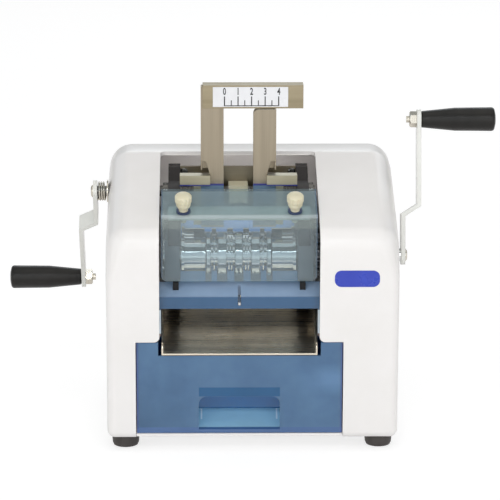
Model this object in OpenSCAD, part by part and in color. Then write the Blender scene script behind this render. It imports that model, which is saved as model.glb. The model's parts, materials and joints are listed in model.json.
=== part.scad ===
// Hand-cranked bench machine that squeezes pills out of blister sheets.
// Millimetres. +Z is up, the front faces -Y, and Z = 0 is the surface it stands on.
// X = 0 lies midway between the ends of the two crank grips, and Y = 0 midway between front and rear.

/* [Casing] */
// Width of the white casing
body_w = 214; // [200:1:230]
// Depth of the casing from front to back
body_d = 150; // [146:1:170]
// Height of the casing's top above the table
body_h = 202.2; // [201.5:0.1:208]
// Depth at which the casing's top becomes level
knee_y = 112.13; // [106:0.01:118]
// Slope of the upper front, in degrees
brow_slope = 18.7; // [17:0.1:19.5]
// Radius of the upper edges
top_r = 17; // [12:1:18]
// Radius of the upright front edges
front_r = 6; // [5:0.5:9]
// Radius of the upright rear edges
rear_r = 10; // [6:0.5:12]
// Thickness of the casing's wall
wall = 3; // [2:0.25:3.5]

/* [Openings in the casing] */
// Distance of the mechanism's middle to the left of the casing's middle
mech_left = 9.6; // [6:0.2:12]
// Width of the tall opening over the rollers
window_w = 117; // [115:1:120]
// Distance of the opening's rear edge from the front face
window_back = 110; // [108:1:113]
// Height of the step between the tall opening and the drawer opening
step_h = 84.2; // [83.6:0.2:85.6]
// Mean width of the casing beside the drawer opening
bay_beside = 31; // [29:0.5:33]
// Radius of the opening's corners
window_r = 4; // [2:0.5:6]
// Margin of the rear service opening to the casing's edges
rear_margin = 30; // [26:1:40]
// Thickness of the rear cover
rear_cover_t = 2.5; // [2:0.25:3]

/* [Badge] */
// Width of the blank badge
badge_w = 32.8; // [20:0.2:38]
// Height of the blank badge
badge_h = 12.4; // [8:0.2:16]
// Distance of the badge's left end from the casing's middle
badge_left = 59.5; // [52:0.5:64]
// Height of the badge's lower edge
badge_z = 126; // [100:0.5:132]
// Thickness of the badge
badge_t = 0.4; // [0.2:0.1:0.8]

/* [Base and feet] */
// Height of the feet
foot_h = 12; // [10:0.5:14]
// Radius of a foot
foot_r = 10; // [8:0.5:11]
// Distance of a foot's middle from the nearer edge of the drawer opening
foot_beside = 8.1; // [7.6:0.1:9]
// Distance of a foot's middle from the front and rear faces
foot_inset_y = 18; // [15:0.5:24]
// How far the casing reaches below the base plate's underside
skirt = 2.2; // [1.5:0.1:3]
// Thickness of the base plate
base_t = 2; // [1.5:0.25:3]
// Radius of the foot screws' shanks
foot_screw_r = 2; // [1.5:0.25:2.5]

/* [Chassis] */
// Sheet thickness of the chassis
chassis_t = 2; // [1.5:0.25:2.5]
// Gap between the drawer opening's top and the underside of the deck
deck_over = 2.3; // [2.3:0.1:3.8]
// Distance of the deck's front edge from the front face
deck_front = 8; // [6:1:12]
// Distance of the deck's rear edge from the front face
deck_back = 140; // [136:1:142]
// Width of the flanges at the foot of the chassis
chassis_flange = 8; // [6:0.5:10]

/* [Side frames] */
// Half of the clear distance between the side frames
frame_in = 43.5; // [43:0.25:45]
// Thickness of a side frame
frame_t = 8.8; // [6:0.1:9.5]
// Distance of the frames' front edge from the front face
frame_front = 26; // [25:0.5:28]
// Radius of the cross bars
tie_r = 4; // [3:0.25:5]
// Thickness of the stainless rear plate
rear_plate_t = 2; // [1:0.25:3]
// Distance of the rear plate from the front face
rear_plate_y = 95; // [94:0.5:98]

/* [Rollers] */
// Distance of the main roller's axis from the front face
roller_y = 58; // [57:0.5:59]
// Height of the rollers' axes
roller_z = 134.5; // [133:0.5:136]
// Teeth of each gear, which also sets the rollers' distance
gear_teeth = 20; // [20:1:21]
// Gear module
gear_m = 1.5; // [1.45:0.01:1.55]
// Width of the gears
gear_w = 10; // [7:0.5:12]
// Radius of the rollers' shafts
shaft_r = 5; // [4:0.25:6]
// Radius of the roller cylinders
cyl_r = 13.1; // [12:0.1:13.4]
// Radius of the pressing discs
disc_r = 17.6; // [16.5:0.1:18]
// Radius of the recesses opposite the pressing discs
relief_r = 10.5; // [9:0.25:11]
// Radius of the roller's core between the discs
core_r = 8; // [6.5:0.25:9]
// Thickness of the roller flanges
flange_t = 2.2; // [1.5:0.1:3]
// Length of each smooth cylinder
cyl_len = 15.5; // [13:0.25:16]
// Running clearance of a shaft in its bush
run_gap = 0.05; // [0.02:0.01:0.08]
// Wall of the bushes
bush_wall = 2.5; // [1.5:0.25:3]

/* [Guides] */
// Gap between the guides, as the scale reads it
guide_gap = 22; // [18:0.5:23]
// Width of a guide upright
guide_w = 17; // [15:0.5:18]
// Depth of a guide channel
guide_depth = 8; // [7:0.5:9]
// Sheet thickness of the guides
guide_t = 1; // [0.8:0.1:1.5]
// Height of the guides' lower ends
guide_low = 153.5; // [153:0.5:156]
// Height of the right guide's top
guide_top = 243; // [238:0.5:250]
// Height of the scale bar's face
bar_h = 17.4; // [14:0.1:19]
// Depth of the scale bar's upper flange
bar_d = 12; // [8:0.5:14]
// Length of the scale bar
bar_l = 74.5; // [70:0.5:80]
// Length of the printed scale
scale_l = 40; // [30:1:45]

/* [Leadscrew] */
// Distance of the leadscrew from the front face
screw_y = 84.5; // [84:0.25:85]
// Height of the leadscrew
screw_z = 177.5; // [176:0.5:178.5]
// Outer radius of the leadscrew
screw_r = 4; // [3:0.25:4.5]
// Pitch of the leadscrew's threads
screw_pitch = 2; // [1.5:0.25:2.5]
// Height of the guide rod
rod_z = 162; // [160:0.5:164]
// Radius of the guide rod
rod_r = 3; // [2.5:0.25:3.5]
// Height of a carrier's top above the leadscrew
carrier_rise = 16.5; // [15:0.5:17.5]
// Length of a carrier
carrier_l = 22.6; // [21:0.2:22.6]

/* [Guard cover] */
// Thickness of the clear cover
cover_t = 2; // [1.5:0.25:3]
// Distance of the cover's face from the front face
cover_y = 20; // [19:0.5:21]
// Height of the cover's lower edge
cover_low = 125; // [124.5:0.5:127]
// Depth of the cover's sloping top
cover_top_d = 36; // [32:1:38]
// Gap between the cover and the casing at each side
cover_gap = 1.4; // [1:0.1:2]
// Radius of a thumbscrew's head
knob_r = 6.2; // [5:0.1:7]
// Height of a thumbscrew's head and neck
knob_h = 13.6; // [12:0.1:16]
// Radius of a thumbscrew's neck
knob_neck = 3.4; // [3:0.1:4]
// Distance of a thumbscrew from the mechanism's middle
knob_x = 40.8; // [36:0.2:42]

/* [Lower panel and chute] */
// Thickness of the blue lower panel
panel_t = 2; // [1.5:0.25:2.5]
// Distance of the panel's face from the front face
panel_y = 8; // [7:0.5:9]
// Height of the panel's lower edge
panel_low = 107.5; // [107:0.5:110]
// Height of the panel's bend
panel_bend = 116.5; // [115:0.5:117.5]
// Distance of the lower panel's rear edge from the front face
panel_back = 38.8; // [30:0.2:39]
// Sheet thickness of the chute
chute_t = 1.2; // [1:0.1:1.5]
// Outer width of the chute
chute_w = 114; // [112:0.5:115]
// Height of the chute's front lip
lip_z = 74.3; // [73.5:0.1:75]
// Slope of the chute's front part, in degrees
chute_slope = 16.5; // [15.5:0.1:17.5]
// Height of the chute's side flanges
chute_side = 6.5; // [5:0.25:7]

/* [Drawer] */
// Wall of the drawer
drawer_wall = 2.4; // [2:0.1:3]
// Length of the drawer from front to back
drawer_l = 126; // [110:1:130]
// Clearance around the drawer
drawer_gap = 0.6; // [0.4:0.05:1]
// Width of the finger pocket
pocket_w = 59.6; // [50:0.2:66]
// Depth of the finger pocket
pocket_d = 25; // [20:0.5:28]
// Height of the finger pocket's ceiling
pocket_top = 42.3; // [38:0.1:48]

/* [Cranks] */
// Distance from a crank's hub to its grip
crank_l = 101; // [90:1:104]
// Width of the crank strap
strap_w = 14.5; // [12:0.5:16]
// Thickness of the crank strap
strap_t = 3.1; // [2.5:0.1:4]
// Sideways step in the crank strap
strap_step = 11.8; // [9:0.1:14]
// Length of a grip
grip_l = 55.4; // [45:0.1:60]
// Radius of a grip at its thick end
grip_r = 8.9; // [7.5:0.1:10]
// Radius of a grip at its thin end
grip_neck_r = 6.2; // [5:0.1:7]
// Distance of the right crank strap from the casing
right_stand = 4.3; // [3:0.1:6]
// Distance of the left crank strap from the casing
left_stand = 8.3; // [7:0.1:10]
// Lean of the right crank behind the vertical, in degrees
right_lean = 13; // [0:1:20]
// Lean of the left crank behind the vertical, in degrees
left_lean = 35; // [25:1:45]
// Radius of the brake spring's wire
wire_r = 0.7; // [0.5:0.05:0.8]

/* [Hidden] */

fine = 64;
soft = 32;
eps = 0.01;

// Where the casing's middle lies, so that both grips reach equally far from X = 0
body_x = (left_stand - right_stand) / 2;
mech_x = body_x - mech_left;
half_w = body_w / 2;
bay_w = body_w - 2 * bay_beside;
foot_x = bay_w / 2 + mech_left + foot_beside;
foot_inset = half_w - foot_x;
// Height at which the front face starts to curve back
brow_h = body_h - top_r - (knee_y - top_r) * tan(brow_slope);
casing_low = foot_h - skirt;
base_top = foot_h + base_t;
deck_low = step_h + deck_over;
deck_top = deck_low + chassis_t;
frame_out = frame_in + frame_t;

foot_seat = 4;
foot_screw_l = 22;
foot_head_r = 3.9;
foot_head_h = 2.4;
roller_gap = gear_teeth * gear_m;
rear_roller_y = roller_y + roller_gap;
nip_y = roller_y + roller_gap / 2;
bush_r = shaft_r + bush_wall;
screw_bush_r = screw_r + bush_wall;
frame_rear = 125;
frame_foot = 74;
frame_toe_z = 112;
frame_shin_y = 40;
frame_shin_z = 103;
frame_shoulder_z = 150;
// Depths and height of the frames' level crown
frame_crown = [95, 106];
frame_crown_z = carrier_rise + screw_z - 0.5;
frame_notch_z = screw_z + 8.5;
block_h = 31;
block_back = roller_y + 14;

cover_half = window_w / 2 - cover_gap;
cover_nose = 0.8;
cover_lift = 0.3;
bar_t = 3;
bar_w = 14;
bar_start = 1.8;
bar_back = cover_y + cover_nose + (bar_start + bar_w) * cos(brow_slope);
knob_along = 5.6;
knob_flutes = 10;
stud_r = 2;
cover_bend_z = brow_h + top_r + 4.5;
guide_front = nip_y - guide_depth / 2;
guide_back = nip_y + guide_depth / 2;
carrier_top = screw_z + carrier_rise;
carrier_low = frame_notch_z + 1;
carrier_front = guide_front - 5;
guide_out = guide_gap / 2 + guide_w;
carrier_out = guide_out + 15.6;
carrier_in = carrier_out - carrier_l;
web_out = guide_out + 5.4;
web_front = guide_front - 3;
nut_in = web_out - 9.4;

// The left grip may reach behind the casing, and Y = 0 lies midway between the front and the rearmost point
grip_over = max(0, screw_y + crank_l * sin(left_lean) + grip_r - body_d);
front = -(body_d + grip_over) / 2;

hub_right = half_w + right_stand;
hub_left = half_w + left_stand;
axle_end = 4;
hub_bolt_r = 2.5;
grip_stud_r = 2.5;
nut_r = 6;
nut_h = 5.3;
thread_in = 8.5;
rear_open_z = casing_low + rear_margin;
rear_open_h = 110;
vent_z = rear_open_z + 6;
vent_l = 38;
vent_r = 1.5;
ledge_t = 2.5;
screw_seat = 0.9;

// Depth and height of each cross bar
tie_places = [[46, 108.5], [117, 108], [117, 150]];
gear_x0 = frame_out + 5;
plate_x0 = gear_x0 + gear_w + 5;
gear_plate_t = 4;
gear_edge = 14;
gear_foot = 7;
gear_foot_y = roller_y + 6.5;
gear_plate_back = frame_rear - 8;
plate_clear = 6;
support_half = 7.2;
plate_screw_l = 6;
plate_screw_r = 1.5;

// Inner ends of the smooth cylinders and places of the pressing discs
cyl_out = frame_in - 1 - flange_t;
cyl_in = cyl_out - cyl_len;
disc_bands = [[-3, 3], [9, 15.8], [20.6, 24.4]];
ring_places = [5.2, 7.2, 18.2];

bar_sheet = 1.2;
slide_t = 1.5;
slide_strip_h = 0.85;
bar_low = guide_top + 1.1;
bar_top = bar_low + bar_h;
scale_zero = 0.8 - guide_gap / 2;

panel_slope = 20;
panel_half = window_w / 2 + 3;
flange_low = frame_toe_z + 1;
finger_z = panel_low + 2.4;
pad_x = 46.5;
pad_back = cover_y + 1.5;

// Depths at which the chute starts, bends, narrows and ends
chute_y = [0.6, 30, 66, 77];
chute_rear_slope = 19;
chute_z1 = lip_z + (chute_y[1] - chute_y[0]) * tan(chute_slope);

drawer_half = bay_w / 2 - drawer_gap;
drawer_y = 1.5;
drawer_low = base_top + 0.3;
drawer_top = step_h - drawer_gap;
drawer_mid = lip_z - 0.8;
pocket_foot = drawer_low + drawer_wall + 0.2;
pocket_step = 25.6;

washer_t = 1;
spring_mid_r = 6.6;
spring_turns = 3.25;
spring_steps = 22;
spring_sides = 8;

// Tools shared by the sub-parts

// Puts its children at a place measured from the casing's middle, its front face and the table
module at(x, y, z) {
    translate([body_x + x, front + y, z]) children();
}

// The same, with X measured from the mechanism's middle
module at_mech(x, y, z) {
    translate([mech_x + x, front + y, z]) children();
}

// A bar along X from x0 to x1, measured from the mechanism's middle
module mech_rod(x0, x1, y, z, r) {
    at_mech(x0, y, z) rotate([0, 90, 0]) cylinder(r = r, h = x1 - x0, $fn = fine);
}

// A bar along X with a bore
module mech_tube(x0, x1, y, z, r, bore) {
    difference() {
        mech_rod(x0, x1, y, z, r);
        mech_rod(x0 - 1, x1 + 1, y, z, bore);
    }
}

// An outline drawn as depth and height, made into a plate from x0 to x1
module mech_plate(x0, x1) {
    at_mech(x0, 0, 0) rotate([90, 0, 90]) linear_extrude(x1 - x0) children();
}

// A box with named corners, measured from the mechanism's middle
module mech_box(x0, x1, y0, y1, z0, z1) {
    at_mech(x0, y0, z0) cube([x1 - x0, y1 - y0, z1 - z0]);
}

// The same piece on both sides of the mechanism's middle
module both_sides() {
    children();
    translate([2 * mech_x, 0, 0]) mirror([1, 0, 0]) children();
}

// A rectangle from corner to corner with round corners
module round_rect(x0, y0, x1, y1, r) {
    translate([x0 + r, y0]) square([x1 - x0 - 2 * r, y1 - y0]);
    translate([x0, y0 + r]) square([x1 - x0, y1 - y0 - 2 * r]);
    for (x = [x0 + r, x1 - r], y = [y0 + r, y1 - r]) translate([x, y]) circle(r, $fn = soft);
}

// What rounding takes off a corner at the origin, with a margin outside the corner
module corner_cut(r) difference() {
    translate([-1, -1]) square(r + 1);
    translate([r, r]) circle(r, $fn = soft);
}

// A screw with a low round head, standing along +Z with its head at the top
module pan_screw(r, head_r, head_h, l) {
    cylinder(r = r, h = l + eps, $fn = fine);
    translate([0, 0, l]) rotate_extrude($fn = fine) difference() {
        polygon([[0, 0], [head_r, 0], [head_r, head_h * 0.45], [head_r * 0.7, head_h], [0, head_h]]);
        translate([-1, head_h * 0.5]) square([1 + head_r * 0.3, head_h]);
    }
}

// Casing

// The casing's outer form, or with inset its inside
module casing_form(inset) {
    rear_top = body_h - top_r;
    low = casing_low - (inset > 0 ? rear_r : 0);
    hull() for (s = [-1, 1]) {
        at(s * (half_w - top_r), top_r, brow_h) ball(top_r - inset);
        at(s * (half_w - top_r), knee_y, rear_top) ball(top_r - inset);
        at(s * (half_w - top_r), body_d - top_r, rear_top) ball(top_r - inset);
        at(s * (half_w - front_r), front_r, low + front_r) ball(front_r - inset);
        at(s * (half_w - front_r), front_r, brow_h - 23) ball(front_r - inset);
        at(s * (half_w - rear_r), body_d - rear_r, low + rear_r) ball(rear_r - inset);
        at(s * (half_w - rear_r), body_d - rear_r, brow_h + 7) ball(rear_r - inset);
    }
}

// A faceted ball that reaches exactly r along each axis
module ball(r) rotate_extrude($fn = soft) intersection() {
    circle(r, $fn = soft);
    translate([0, -r]) square([r, 2 * r]);
}

// Outline of the front openings, as seen from the front
module front_opening() {
    w = window_w / 2;
    b = bay_w / 2;
    translate([-w, step_h - 1]) square([window_w, body_h]);
    translate([-b, -1]) square([bay_w, step_h + 1]);
    for (s = [0, 1]) mirror([s, 0]) translate([w, step_h]) corner_cut(window_r);
}

module casing() color("white") {
    difference() {
        casing_form(0);
        casing_form(wall);
        at_mech(0, -1, 0) rotate([90, 0, 0]) mirror([0, 0, 1]) linear_extrude(30) front_opening();
        at_mech(0, 0, brow_h - 10) linear_extrude(body_h) {
            round_rect(-window_w / 2, 10, window_w / 2, window_back, window_r);
        }
        at(half_w - wall - 2, roller_y, roller_z) rotate([0, 90, 0]) {
            cylinder(r = shaft_r + 1.5, h = 10, $fn = fine);
        }
        at(-half_w - 5, screw_y, screw_z) rotate([0, 90, 0]) {
            cylinder(r = screw_r + 1.5, h = 10, $fn = fine);
        }
        at(0, body_d + 1, 0) rotate([90, 0, 0]) linear_extrude(wall + 2) {
            rear_outline(0);
        }
        at(0, body_d + 1, 0) rotate([90, 0, 0]) linear_extrude(1 + rear_cover_t + 0.2) rear_outline(7);
        rear_screw_places() cylinder(r = 1.3, h = 12, center = true, $fn = fine);
        translate([0, -1, 0]) badge_form(1 + badge_t);
    }
    casing_posts();
    rear_ledge();
}

// Outline of the rear opening, grown by a margin
module rear_outline(grow) {
    x = half_w - rear_margin + grow;
    round_rect(-x, rear_open_z - grow, x, rear_open_z + rear_open_h + grow, 6 + grow * 0.3);
}

// Frame behind the rear opening, on which the rear cover lies
module rear_ledge() difference() {
    at(0, body_d - rear_cover_t - 0.2, 0) rotate([90, 0, 0]) linear_extrude(ledge_t) difference() {
        rear_outline(9);
        rear_outline(0);
    }
    rear_screw_places() cylinder(r = 1.3, h = 12, center = true, $fn = fine);
}

// The four posts inside the casing that the foot screws hold, each with a rib to the side wall
module casing_posts() difference() {
    foot_places() {
        translate([0, 0, base_top]) cylinder(r = foot_screw_r + 1.3, h = 22, $fn = fine);
        translate([0, -1.5, base_top + 4]) cube([foot_inset - wall + 0.5, 3, 18]);
    }
    foot_places() translate([0, 0, base_top - 1]) cylinder(r = foot_screw_r, h = 17, $fn = fine);
}

// Places of the four feet, turned so that +X points to the near side wall
module foot_places() {
    for (s = [-1, 1], y = [foot_inset_y, body_d - foot_inset_y]) {
        at(s * (half_w - foot_inset), y, 0) mirror([s < 0 ? 1 : 0, 0, 0]) children();
    }
}

// Places of the rear cover's screws, turned so that +Z points to the rear
module rear_screw_places() {
    for (s = [-1, 1], z = [rear_open_z + 4, rear_open_z + rear_open_h - 4]) {
        at(s * (half_w - rear_margin + 3.5), body_d - rear_cover_t, z) rotate([-90, 0, 0]) children();
    }
}

module rear_cover() color("whitesmoke") difference() {
    at(0, body_d, 0) rotate([90, 0, 0]) linear_extrude(rear_cover_t) rear_outline(6.7);
    rear_screw_places() cylinder(r = 1.6, h = 12, center = true, $fn = fine);
    rear_screw_places() translate([0, 0, screw_seat]) cylinder(r = 3.3, h = 5, $fn = fine);
    for (k = [-4 : 4]) at(10 * k, body_d + 5, vent_z) rotate([90, 0, 0]) linear_extrude(10) vent();
}

// Outline of one upright slot in the rear cover
module vent() {
    translate([-vent_r, vent_r]) square([2 * vent_r, vent_l - 2 * vent_r]);
    for (y = [vent_r, vent_l - vent_r]) translate([0, y]) circle(vent_r, $fn = soft);
}

module rear_cover_screws() color("silver") rear_screw_places() {
    translate([0, 0, -ledge_t - 0.7]) pan_screw(1.3, 2.9, 1.5, ledge_t + 0.7 + screw_seat);
}

// The badge's form, as deep as asked
module badge_form(depth) {
    at(badge_left, 0, badge_z) rotate([90, 0, 0]) mirror([0, 0, 1]) linear_extrude(depth) {
        round_rect(0, 0, badge_w, badge_h, badge_h * 0.4);
    }
}

module badge() color([0.25, 0.3, 0.75]) badge_form(badge_t);

// Base and feet

module base_plate() color("gainsboro") {
    inner = half_w - wall - 0.3;
    difference() {
        union() {
            at(-inner, wall + 0.3, foot_h) cube([2 * inner, body_d - 2 * wall - 0.6, base_t]);
            mech_box(-bay_w / 2 + 0.3, bay_w / 2 - 0.3, 0.5, wall + 2, foot_h, base_top);
        }
        for (s = [-1, 1], y = [0, body_d]) at(s * half_w, y, foot_h - 1) {
            rotate([0, 0, 45]) translate([-8, -8, 0]) cube([16, 16, base_t + 2]);
        }
        foot_places() translate([0, 0, foot_h - 1]) {
            cylinder(r = foot_screw_r + 0.2, h = base_t + 2, $fn = fine);
        }
    }
}

module feet() color("black") difference() {
    foot_places() rotate_extrude($fn = fine) difference() {
        polygon([
            [0, 0], [foot_r - 3, 0], [foot_r - 1, 0.7], [foot_r - 0.2, 2.6],
            [foot_r, 5], [foot_r, foot_h], [0, foot_h]
        ]);
        translate([-1, -1]) square([1 + foot_screw_r + 0.2, foot_h + 2]);
        translate([-1, -1]) square([1 + foot_head_r + 0.3, 1 + foot_seat]);
    }
}

module foot_screws() color("silver") foot_places() {
    translate([0, 0, foot_seat + foot_screw_l]) mirror([0, 0, 1]) {
        pan_screw(foot_screw_r, foot_head_r, foot_head_h, foot_screw_l);
    }
}

// Chassis

// Plan of the flange at the foot of the chassis, between the rear and front feet
module flange_outline(side) {
    x = mech_x + side;
    translate([x, front + deck_front + 26]) square([chassis_t + chassis_flange, deck_back - deck_front - 52]);
}

module chassis() color("silver") {
    side = bay_w / 2 + 2.5;
    difference() {
        union() {
            both_sides() {
                mech_box(side, side + chassis_t, deck_front, deck_back, base_top, deck_top);
                translate([0, 0, base_top]) linear_extrude(chassis_t) flange_outline(side);
            }
            mech_box(-side, side, deck_front, deck_back, deck_low, deck_top);
        }
        mech_box(-chute_w / 2 - 0.3, chute_w / 2 + 0.3, -1, frame_foot - 10, deck_low - 1, deck_top + 1);
        mech_box(-frame_in + 2, frame_in - 2, frame_foot - 11, frame_rear - 3, deck_low - 1, deck_top + 1);
    }
}

// Outline of a side frame, as depth and height
module frame_outline() {
    difference() {
        polygon([
            [frame_foot, deck_top], [frame_rear, deck_top], [frame_rear, frame_shoulder_z],
            [frame_crown[1], frame_crown_z], [frame_crown[0], frame_crown_z],
            [guide_back + 4, frame_notch_z], [carrier_front - 2, frame_notch_z],
            [bar_back, under_bar(bar_back)], [frame_front, under_bar(frame_front)],
            [frame_front, frame_toe_z], [frame_shin_y, frame_shin_z], [frame_foot, frame_shin_z - 2]
        ]);
        translate([frame_front - 1, roller_z - block_h / 2]) square([block_back - frame_front + 1, block_h]);
        translate([rear_roller_y, roller_z]) circle(bush_r, $fn = fine);
        translate([screw_y, screw_z]) circle(screw_bush_r, $fn = fine);
        translate([screw_y, rod_z]) circle(rod_r, $fn = fine);
        for (p = tie_places) translate(p) circle(tie_r - 1, $fn = fine);
    }
}

// Height of the cover bar's underside at a depth
function under_bar(y) = cover_bend_z + (y - cover_y - cover_nose) * tan(brow_slope)
    - (cover_t + cover_lift + bar_t) / cos(brow_slope);

module left_frame() color([0.1, 0.1, 0.11]) mech_plate(-frame_out, -frame_in) frame_outline();
module right_frame() color([0.1, 0.1, 0.11]) mech_plate(frame_in, frame_out) frame_outline();

// Block that carries the main roller's bush in the frame's open slot
module bearing_block() {
    mech_plate(frame_in + 0.2, frame_out + 1) difference() {
        translate([frame_front + 2, roller_z - block_h / 2]) square([block_back - frame_front - 2, block_h]);
        translate([roller_y, roller_z]) circle(bush_r, $fn = fine);
    }
    mech_plate(frame_out, frame_out + 2.5) difference() {
        translate([frame_front + 2, roller_z - block_h / 2 - 4]) {
            square([block_back - frame_front + 2, block_h + 8]);
        }
        translate([roller_y, roller_z]) circle(bush_r, $fn = fine);
    }
}

module left_bearing_block() color("darkgray") mirrored_block();
module mirrored_block() translate([2 * mech_x, 0, 0]) mirror([1, 0, 0]) bearing_block();
module right_bearing_block() color("darkgray") bearing_block();

module frame_bushes() color("goldenrod") both_sides() {
    mech_tube(frame_in + 0.2, frame_out + 2.5, roller_y, roller_z, bush_r, shaft_r + run_gap);
    mech_tube(frame_in, frame_out, rear_roller_y, roller_z, bush_r, shaft_r + run_gap);
    mech_tube(frame_in, frame_out, screw_y, screw_z, screw_bush_r, screw_r + run_gap);
}

module cross_bars() color("silver") for (p = tie_places) {
    mech_rod(-frame_in, frame_in, p[0], p[1], tie_r);
    mech_rod(-frame_out - 5, frame_out + 5, p[0], p[1], tie_r - 1);
}

module cross_bar_nuts() color("silver") both_sides() for (p = tie_places) difference() {
    at_mech(frame_out, p[0], p[1]) rotate([0, 90, 0]) cylinder(r = 5.8, h = 4, $fn = 6);
    mech_rod(frame_out - 1, frame_out + 5, p[0], p[1], tie_r - 1);
}

module rear_plate() color([0.6, 0.57, 0.53]) difference() {
    low = roller_z + cyl_r + plate_clear;
    mech_box(-frame_in, frame_in, rear_plate_y, rear_plate_y + rear_plate_t, low, carrier_top);
    rear_plate_screw_places() cylinder(r = plate_screw_r, h = 2 * plate_screw_l, center = true, $fn = fine);
}

// Places of the rear plate's screws, turned so that +Z points to the front
module rear_plate_screw_places() {
    for (s = [-1, 1]) at_mech(s * (frame_in - 3), rear_plate_y, carrier_top - 4) rotate([90, 0, 0]) children();
}

module rear_plate_screws() color("dimgray") rear_plate_screw_places() {
    translate([0, 0, -plate_screw_l]) pan_screw(plate_screw_r, 2.8, 1.6, plate_screw_l);
}

// Gears at the right side

module gear_plate() color("silver") {
    mech_plate(plate_x0, plate_x0 + gear_plate_t) difference() {
        polygon([
            [roller_y - gear_edge, deck_top], [gear_plate_back, deck_top],
            [rear_roller_y + gear_edge, roller_z + gear_edge], [roller_y - gear_edge, roller_z + gear_edge]
        ]);
        translate([roller_y, roller_z]) circle(bush_r, $fn = fine);
        translate([rear_roller_y, roller_z]) circle(bush_r, $fn = fine);
    }
    foot_top = deck_top + gear_plate_t / 2;
    mech_box(plate_x0 - gear_foot, plate_x0 + eps, gear_foot_y, gear_plate_back, deck_top, foot_top);
}

module gear_plate_bushes() color("goldenrod") for (y = [roller_y, rear_roller_y]) {
    mech_tube(plate_x0 - 1, plate_x0 + gear_plate_t + 1, y, roller_z, bush_r, shaft_r + run_gap);
}

// One point of an involute that starts on the base circle
function involute(base, a) = [
    base * (cos(a) + a * PI / 180 * sin(a)),
    base * (sin(a) - a * PI / 180 * cos(a))
];
function turned(p, a) = [p[0] * cos(a) - p[1] * sin(a), p[0] * sin(a) + p[1] * cos(a)];
function involute_at(base, r) = sqrt(pow(r / base, 2) - 1) * 180 / PI;

// Outline of a spur gear with its first tooth on +X
module gear_outline(teeth, m) {
    pitch = teeth * m / 2;
    base = pitch * cos(20);
    root = pitch - 1.25 * m;
    tip = pitch + 0.92 * m;
    at_pitch = involute(base, involute_at(base, pitch));
    half = 90 / teeth - 0.45 + atan2(at_pitch[1], at_pitch[0]);
    steps = 4;
    flank = [for (k = [0 : steps]) involute(base, involute_at(base, base + (tip - base) * k / steps))];
    tooth = concat(
        [turned([root, 0], -half)],
        [for (p = flank) turned(p, -half)],
        [for (k = [steps : -1 : 0]) turned([flank[k][0], -flank[k][1]], half)],
        [turned([root, 0], half)]
    );
    polygon([for (i = [0 : teeth - 1]) each [for (p = tooth) turned(p, i * 360 / teeth)]]);
}

// A gear on a shaft along X
module spur_gear(y, phase) difference() {
    union() {
        at_mech(gear_x0, y, roller_z) rotate([90, 0, 90]) linear_extrude(gear_w) {
            rotate(phase) gear_outline(gear_teeth, gear_m);
        }
        mech_rod(gear_x0 - 2, gear_x0 + gear_w + 2, y, roller_z, shaft_r + 4);
    }
    mech_rod(gear_x0 - 5, gear_x0 + gear_w + 5, y, roller_z, shaft_r);
}

module drive_gear() color("gray") spur_gear(roller_y, 0);
module driven_gear() color("gray") spur_gear(rear_roller_y, (gear_teeth % 2 == 0) ? 180 / gear_teeth : 0);

// Rollers

module main_shaft() color("silver") difference() {
    mech_rod(-frame_out - axle_end, mech_left + hub_right, roller_y, roller_z, shaft_r);
    mech_rod(mech_left + hub_right - 12, mech_left + hub_right + 1, roller_y, roller_z, hub_bolt_r);
}

module rear_shaft() color("silver") {
    mech_rod(-frame_out - axle_end, plate_x0 + gear_plate_t + axle_end, rear_roller_y, roller_z, shaft_r);
}

module main_roller() color("silver") {
    both_sides() {
        mech_tube(cyl_in, cyl_out, roller_y, roller_z, cyl_r, shaft_r);
        mech_tube(cyl_out, cyl_out + flange_t, roller_y, roller_z, cyl_r + 1.6, shaft_r);
    }
    mech_tube(-cyl_in, cyl_in, roller_y, roller_z, core_r, shaft_r);
}

// A pressing disc between two planes, with chamfered rims
module pressing_disc(x0, x1) {
    at_mech(x0, roller_y, roller_z) rotate([0, 90, 0]) rotate_extrude($fn = fine) {
        polygon([
            [core_r, 0], [disc_r - 0.6, 0], [disc_r, 0.6],
            [disc_r, x1 - x0 - 0.6], [disc_r - 0.6, x1 - x0], [core_r, x1 - x0]
        ]);
    }
}

module pressing_discs() color("gainsboro") {
    pressing_disc(disc_bands[0][0], disc_bands[0][1]);
    for (b = [disc_bands[1], disc_bands[2]]) both_sides() pressing_disc(b[0], b[1]);
}

module thin_rings() color("gray") both_sides() for (x = ring_places) {
    mech_tube(x - 0.5, x + 0.5, roller_y, roller_z, disc_r - 3, core_r);
}

module rear_roller() color("silver") {
    both_sides() {
        mech_tube(disc_bands[2][1] + 0.8, cyl_out, rear_roller_y, roller_z, cyl_r, shaft_r);
        mech_tube(cyl_out, cyl_out + flange_t, rear_roller_y, roller_z, cyl_r + 1.2, shaft_r);
        mech_tube(disc_bands[1][1] + 0.8, disc_bands[2][0] - 0.8, rear_roller_y, roller_z, cyl_r, shaft_r);
        mech_tube(disc_bands[0][1] + 0.8, disc_bands[1][0] - 0.8, rear_roller_y, roller_z, cyl_r, shaft_r);
    }
    mech_tube(-disc_bands[2][1] - 0.9, disc_bands[2][1] + 0.9, rear_roller_y, roller_z, relief_r, shaft_r);
}

// Leadscrew and guides

module leadscrew() color("silver") difference() {
    leadscrew_form();
    mech_rod(mech_left - hub_left - 1, mech_left - hub_left + 12, screw_y, screw_z, hub_bolt_r);
}

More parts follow.
